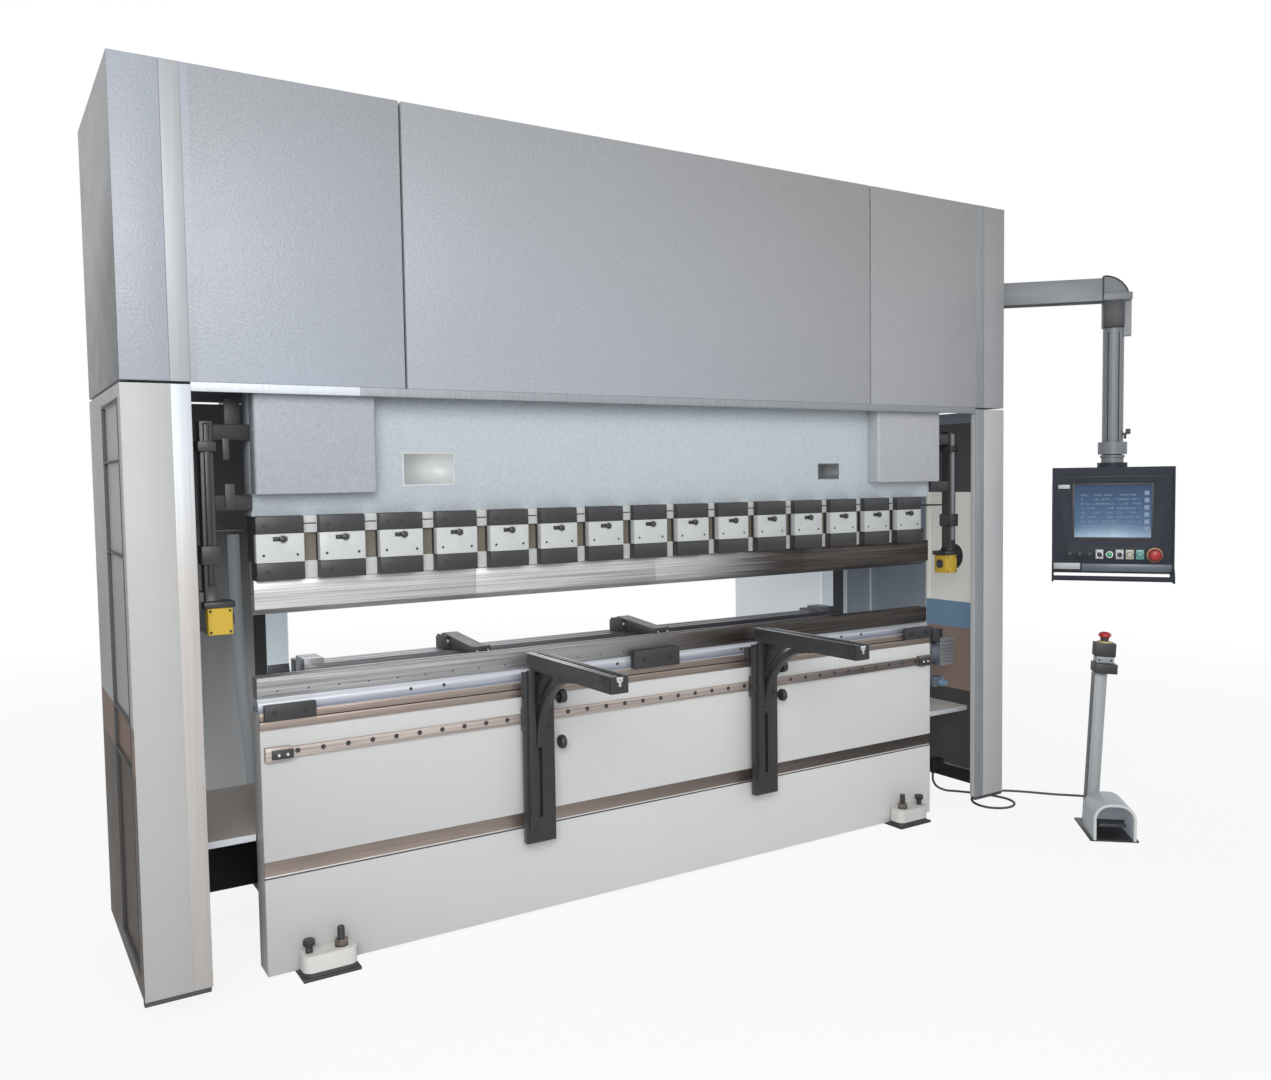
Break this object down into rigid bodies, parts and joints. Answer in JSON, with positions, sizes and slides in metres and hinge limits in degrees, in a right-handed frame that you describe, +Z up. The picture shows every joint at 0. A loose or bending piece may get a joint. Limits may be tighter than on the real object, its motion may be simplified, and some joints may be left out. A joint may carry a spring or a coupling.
{
  "type": "cnc hydraulic press brake",
  "caption": "Hydraulic press brake with a guided ram and punch over a table and die, a back gauge, front sheet supports, a hanging pendant and a foot console.",
  "frame": {"origin": "middle of the four foundation bolt holes, at floor level", "axes": "+X to the right along the bend line, as seen from the front; +Y to the back of the machine; +Z up"},
  "size_m": [4.5113, 2.0871, 2.841],
  "materials": {
    "frame_paint": "satin dark grey paint on thick plate",
    "foot_paint": "off-white paint on cast bosses",
    "table_paint": "satin off-white paint with bare machined bands",
    "machined_steel": "ground and oiled tool steel",
    "clamp_black": "blackened steel",
    "cylinder_steel": "grey enamel",
    "polished_steel": "polished stainless strip",
    "tank_paint": "light grey paint",
    "motor_black": "ribbed motor housing",
    "cover_white": "off-white sheet metal",
    "window_sheet": "smoked clear sheet",
    "housing_paint": "light silver-grey texture paint",
    "drive_grey": "grey geared drive",
    "boom_paint": "grey aluminium enclosure arm",
    "console_black": "black plastic and rubber",
    "console_paint": "light grey paint",
    "cable_rubber": "dark grey sheath",
    "clamp_white": "white painted clamp plate",
    "guard_black": "black anodised arm with a yellow head",
    "gauge_black": "black painted steel",
    "gauge_aluminium": "drawn aluminium beam",
    "support_black": "black painted bracket",
    "pendant_grey": "dark grey enclosure",
    "screen_glass": "lit blue screen behind glass"
  },
  "bodies": {
    "frame": {"left_side_frame": "frame_paint", "right_side_frame": "frame_paint", "cross_beams": "frame_paint", "front_feet": "foot_paint", "rear_feet": "foot_paint", "table_beam": "table_paint", "support_rail": "machined_steel", "die_holder": "machined_steel", "lower_die": "machined_steel", "die_clamp_blocks": "clamp_black", "cylinders": "cylinder_steel", "ram_guides": "machined_steel", "oil_tank": "tank_paint", "pump_motor": "motor_black", "left_column_cover": "cover_white", "right_column_cover": "cover_white", "side_windows": "window_sheet", "column_strips": "polished_steel", "upper_front_panels": "housing_paint", "upper_side_panels": "housing_paint", "top_cover": "housing_paint", "upper_rear_panels": "housing_paint", "lower_front_strip": "polished_steel", "crowning_drive": "drive_grey", "gauge_rails": "machined_steel", "boom_bracket": "boom_paint", "console_base": "console_black", "pedal_hood": "console_paint", "console_post": "console_paint", "console_head": "console_black", "pedal_cable": "cable_rubber"},
    "ram": {"ram_beam": "housing_paint", "ram_rods": "polished_steel", "ram_covers": "housing_paint", "clamp_bars": "clamp_black", "clamp_plates": "clamp_white", "clamp_jaws": "clamp_black", "tool_wedges": "clamp_white", "punch": "machined_steel", "light_guards": "guard_black"},
    "gauge_carriage": {"gauge_carriage": "gauge_black"},
    "gauge_beam": {"gauge_beam": "gauge_aluminium"},
    "left_finger": {"left_finger": "gauge_black"},
    "right_finger": {"right_finger": "gauge_black"},
    "left_support": {"left_support": "support_black"},
    "right_support": {"right_support": "support_black"},
    "boom": {"boom_arm": "boom_paint", "pendant_tube": "boom_paint"},
    "pendant": {"pendant_box": "pendant_grey", "pendant_screen": "screen_glass"},
    "foot_pedal": {"foot_pedal": "console_black"}
  },
  "joints": [
    {"name": "ram_stroke", "type": "slide", "parent": "frame", "child": "ram", "axis": [0, 0, 1], "range_m": [-0.195, 0]},
    {"name": "gauge_depth", "type": "slide", "parent": "frame", "child": "gauge_carriage", "axis": [0, 1, 0], "range_m": [-0.025, 0.62]},
    {"name": "gauge_height", "type": "slide", "parent": "gauge_carriage", "child": "gauge_beam", "axis": [0, 0, 1], "range_m": [0, 0.12]},
    {"name": "left_finger_shift", "type": "slide", "parent": "gauge_beam", "child": "left_finger", "axis": [1, 0, 0], "range_m": [-0.4, 0.3]},
    {"name": "right_finger_shift", "type": "slide", "parent": "gauge_beam", "child": "right_finger", "axis": [1, 0, 0], "range_m": [-0.3, 0.95]},
    {"name": "left_support_shift", "type": "slide", "parent": "frame", "child": "left_support", "axis": [1, 0, 0], "range_m": [-0.8, 0.4]},
    {"name": "right_support_shift", "type": "slide", "parent": "frame", "child": "right_support", "axis": [1, 0, 0], "range_m": [-0.4, 0.85]},
    {"name": "boom_swing", "type": "hinge", "parent": "frame", "child": "boom", "pos_m": [1.99, -0.534, 2.47], "axis": [0, 0, 1], "range_deg": [-50, 45]},
    {"name": "pendant_swivel", "type": "hinge", "parent": "boom", "child": "pendant", "pos_m": [2.40083, -0.94483, 1.69], "axis": [0, 0, 1], "range_deg": [-70, 70]},
    {"name": "pedal_press", "type": "hinge", "parent": "frame", "child": "foot_pedal", "pos_m": [1.98033, -1.21474, 0.042], "axis": [0.7431, -0.6691, 0], "range_deg": [0, 10], "stiffness_Nm_per_rad": 60, "springref_deg": -5.73}
  ]
}
